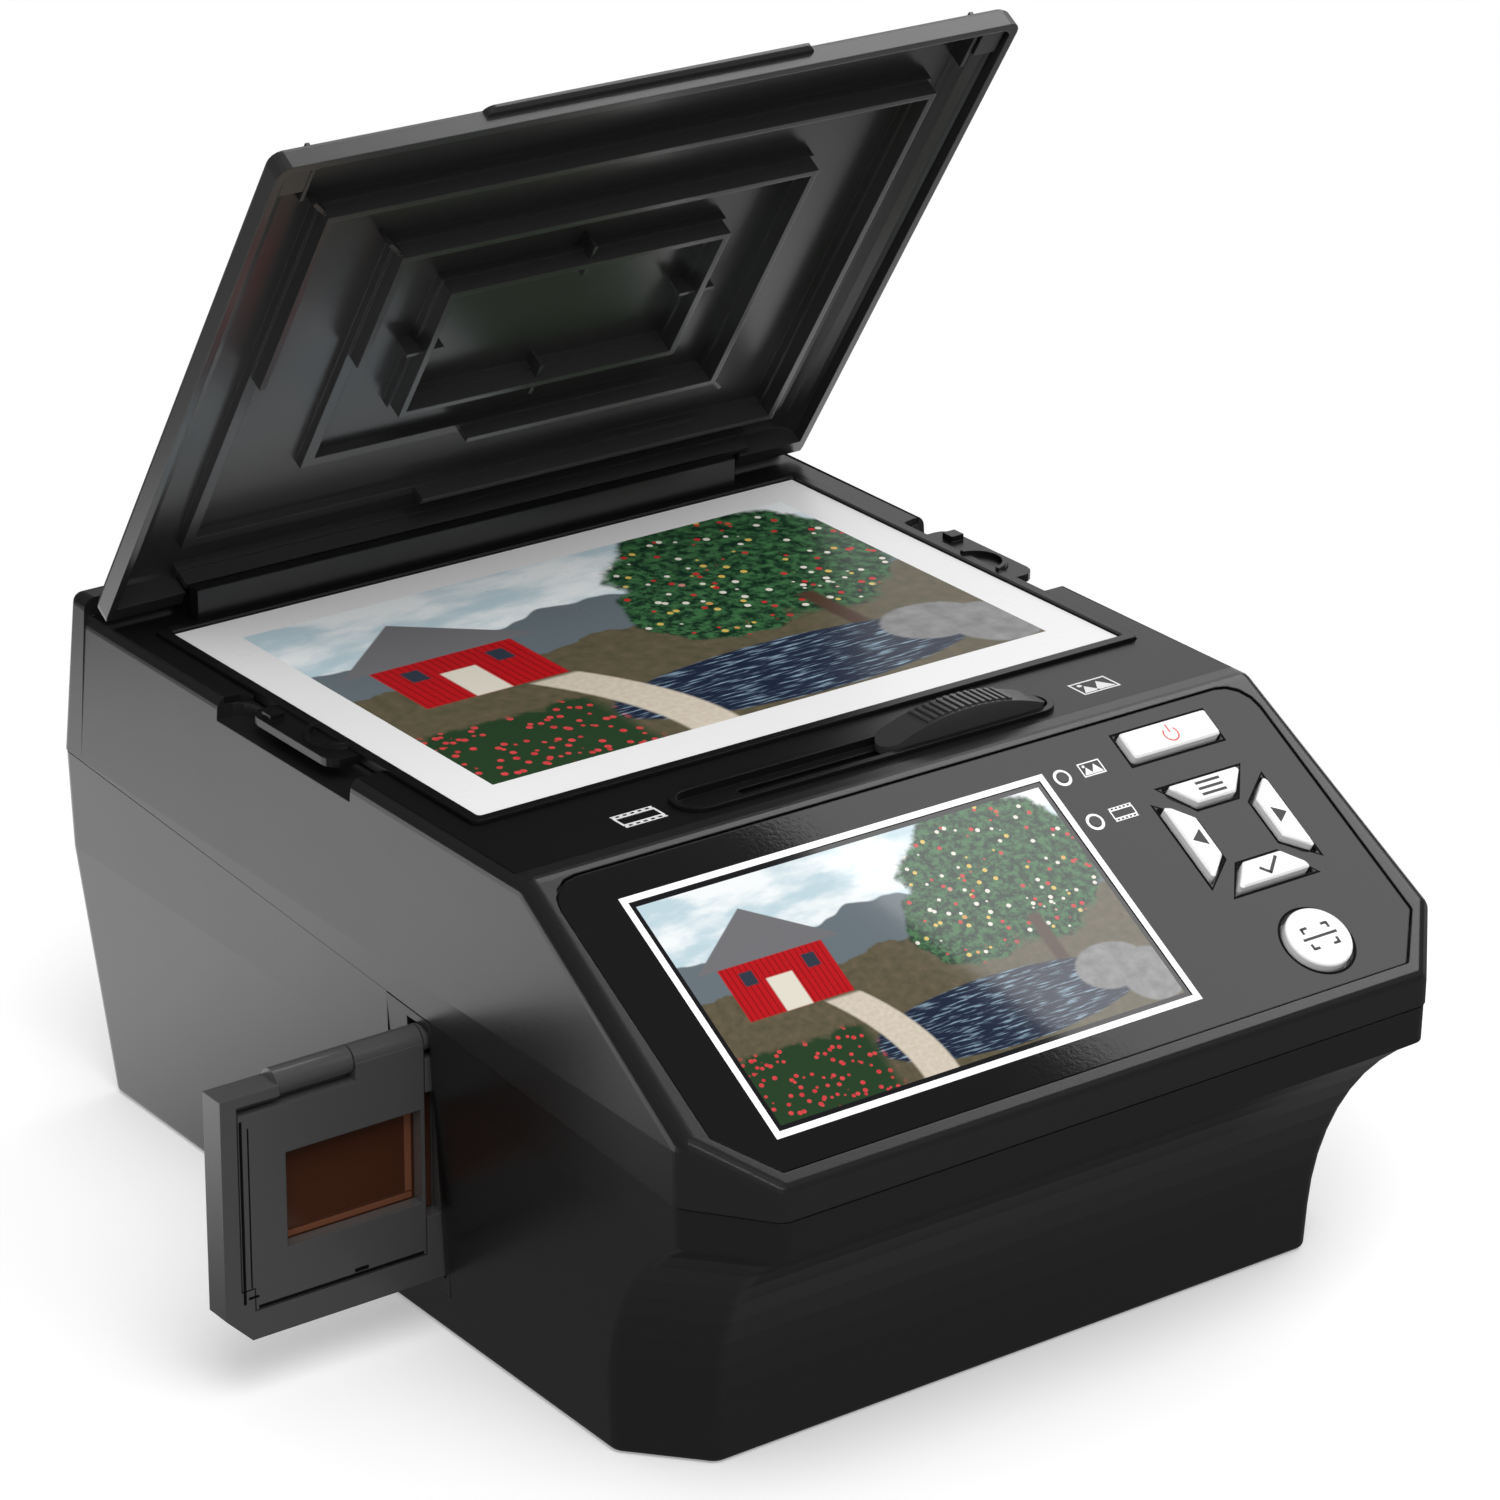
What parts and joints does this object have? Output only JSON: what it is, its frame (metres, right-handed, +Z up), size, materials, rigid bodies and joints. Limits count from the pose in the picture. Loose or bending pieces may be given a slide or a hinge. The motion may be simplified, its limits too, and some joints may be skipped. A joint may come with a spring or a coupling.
{
  "type": "film negative scanner",
  "caption": "Desktop photo and film scanner with a ribbed hinged lid over a photo bed, a tilted screen panel with buttons, a mode slider and a film tray that slides into its side.",
  "frame": {"origin": "centre of the footprint on the table, at the bottom faces of the feet", "axes": "+Z up, +X to the right of a person facing the control panel, +Y to the back; the panel and the nose face -Y and the film tray comes out to -X"},
  "size_m": [0.2577, 0.2654, 0.2592],
  "materials": {
    "shell_upper": "satin black moulded casing",
    "shell_lower": "satin black moulded casing",
    "base_black": "black moulded base",
    "foot_rubber": "black rubber pads",
    "steel": "plated steel",
    "deck_gloss": "glossy black plate",
    "glass_clear": "clear glass",
    "photo_tray_black": "black moulded frame",
    "print_paper": "glossy photo print with a white border",
    "lid_black": "satin black moulded lid",
    "slider_black": "black moulded bezel",
    "knob_black": "black ridged knob",
    "frame_grey": "dark grey moulded inner frame",
    "mirror_silver": "front-coated mirror",
    "panel_gloss": "glossy dark control panel",
    "screen_glass": "colour screen behind a clear window",
    "lamp_clear": "clear light guides",
    "button_white": "white moulded button",
    "board_green": "green circuit board",
    "switch_black": "black push switches",
    "bezel_black": "black moulded slot frame",
    "tray_grey": "dark grey moulded film holder",
    "film_amber": "amber film",
    "box_white": "white light box",
    "diffuser_white": "milky diffuser",
    "lens_glass": "coated lens glass",
    "camera_black": "black lens barrel",
    "socket_metal": "stamped metal shell"
  },
  "bodies": {
    "casing": {"upper_shell": "shell_upper", "lower_shell": "shell_lower", "base_plate": "base_black", "rubber_feet": "foot_rubber", "case_screws": "steel", "deck_plate": "deck_gloss", "photo_glass": "glass_clear", "hinge_pins": "steel", "slider_bezel": "slider_black", "guide_rods": "steel", "rod_brackets": "frame_grey", "control_panel": "panel_gloss", "screen_module": "screen_glass", "indicator_lamps": "lamp_clear", "button_board": "board_green", "key_switches": "switch_black", "slot_bezel": "bezel_black", "film_guide": "frame_grey", "backlight_box": "box_white", "backlight_diffuser": "diffuser_white", "relay_lens": "lens_glass", "relay_holder": "frame_grey", "fixed_mirror": "mirror_silver", "mirror_bracket": "frame_grey", "camera_board": "board_green", "camera_housing": "camera_black", "camera_lens": "lens_glass", "photo_lights": "diffuser_white", "main_board": "board_green", "usb_socket": "socket_metal", "card_socket": "socket_metal"},
    "lid": {"lid": "lid_black"},
    "mode_slider": {"slider_knob": "knob_black", "mirror_carriage": "frame_grey", "carriage_mirror": "mirror_silver"},
    "print_frame": {"photo_tray": "photo_tray_black", "sample_print": "print_paper"},
    "film_tray": {"tray_base": "tray_grey", "tray_pin": "steel", "film_frame": "film_amber"},
    "film_cover": {"tray_cover": "tray_grey"},
    "power_key": {"power_button": "button_white"},
    "menu_key": {"menu_button": "button_white"},
    "enter_key": {"enter_button": "button_white"},
    "left_key": {"left_button": "button_white"},
    "right_key": {"right_button": "button_white"},
    "scan_key": {"scan_button": "button_white"}
  },
  "joints": [
    {"name": "lid_hinge", "type": "hinge", "parent": "casing", "child": "lid", "pos_m": [0, 0.1069, 0.1287], "axis": [-1, 0, 0], "range_deg": [-57.6, 30]},
    {"name": "mode_slide", "type": "slide", "parent": "casing", "child": "mode_slider", "axis": [-1, 0, 0], "range_m": [0, 0.053]},
    {"name": "print_frame_lift", "type": "slide", "parent": "casing", "child": "print_frame", "axis": [0, 0, 1], "range_m": [0, 0.008]},
    {"name": "film_tray_slide", "type": "slide", "parent": "casing", "child": "film_tray", "axis": [-1, 0, 0], "range_m": [-0.0525, 0]},
    {"name": "film_cover_hinge", "type": "hinge", "parent": "film_tray", "child": "film_cover", "pos_m": [-0.115, -0.0295, 0.0733], "axis": [-1, 0, 0], "range_deg": [0, 110]},
    {"name": "power_press", "type": "slide", "parent": "casing", "child": "power_key", "axis": [0, 0.5, -0.866], "range_m": [0, 0.0008], "stiffness_N_per_m": 500},
    {"name": "menu_press", "type": "slide", "parent": "casing", "child": "menu_key", "axis": [0, 0.5, -0.866], "range_m": [0, 0.0008], "stiffness_N_per_m": 500},
    {"name": "enter_press", "type": "slide", "parent": "casing", "child": "enter_key", "axis": [0, 0.5, -0.866], "range_m": [0, 0.0008], "stiffness_N_per_m": 500},
    {"name": "left_press", "type": "slide", "parent": "casing", "child": "left_key", "axis": [0, 0.5, -0.866], "range_m": [0, 0.0008], "stiffness_N_per_m": 500},
    {"name": "right_press", "type": "slide", "parent": "casing", "child": "right_key", "axis": [0, 0.5, -0.866], "range_m": [0, 0.0008], "stiffness_N_per_m": 500},
    {"name": "scan_press", "type": "slide", "parent": "casing", "child": "scan_key", "axis": [0, 0.5, -0.866], "range_m": [0, 0.0008], "stiffness_N_per_m": 500}
  ]
}
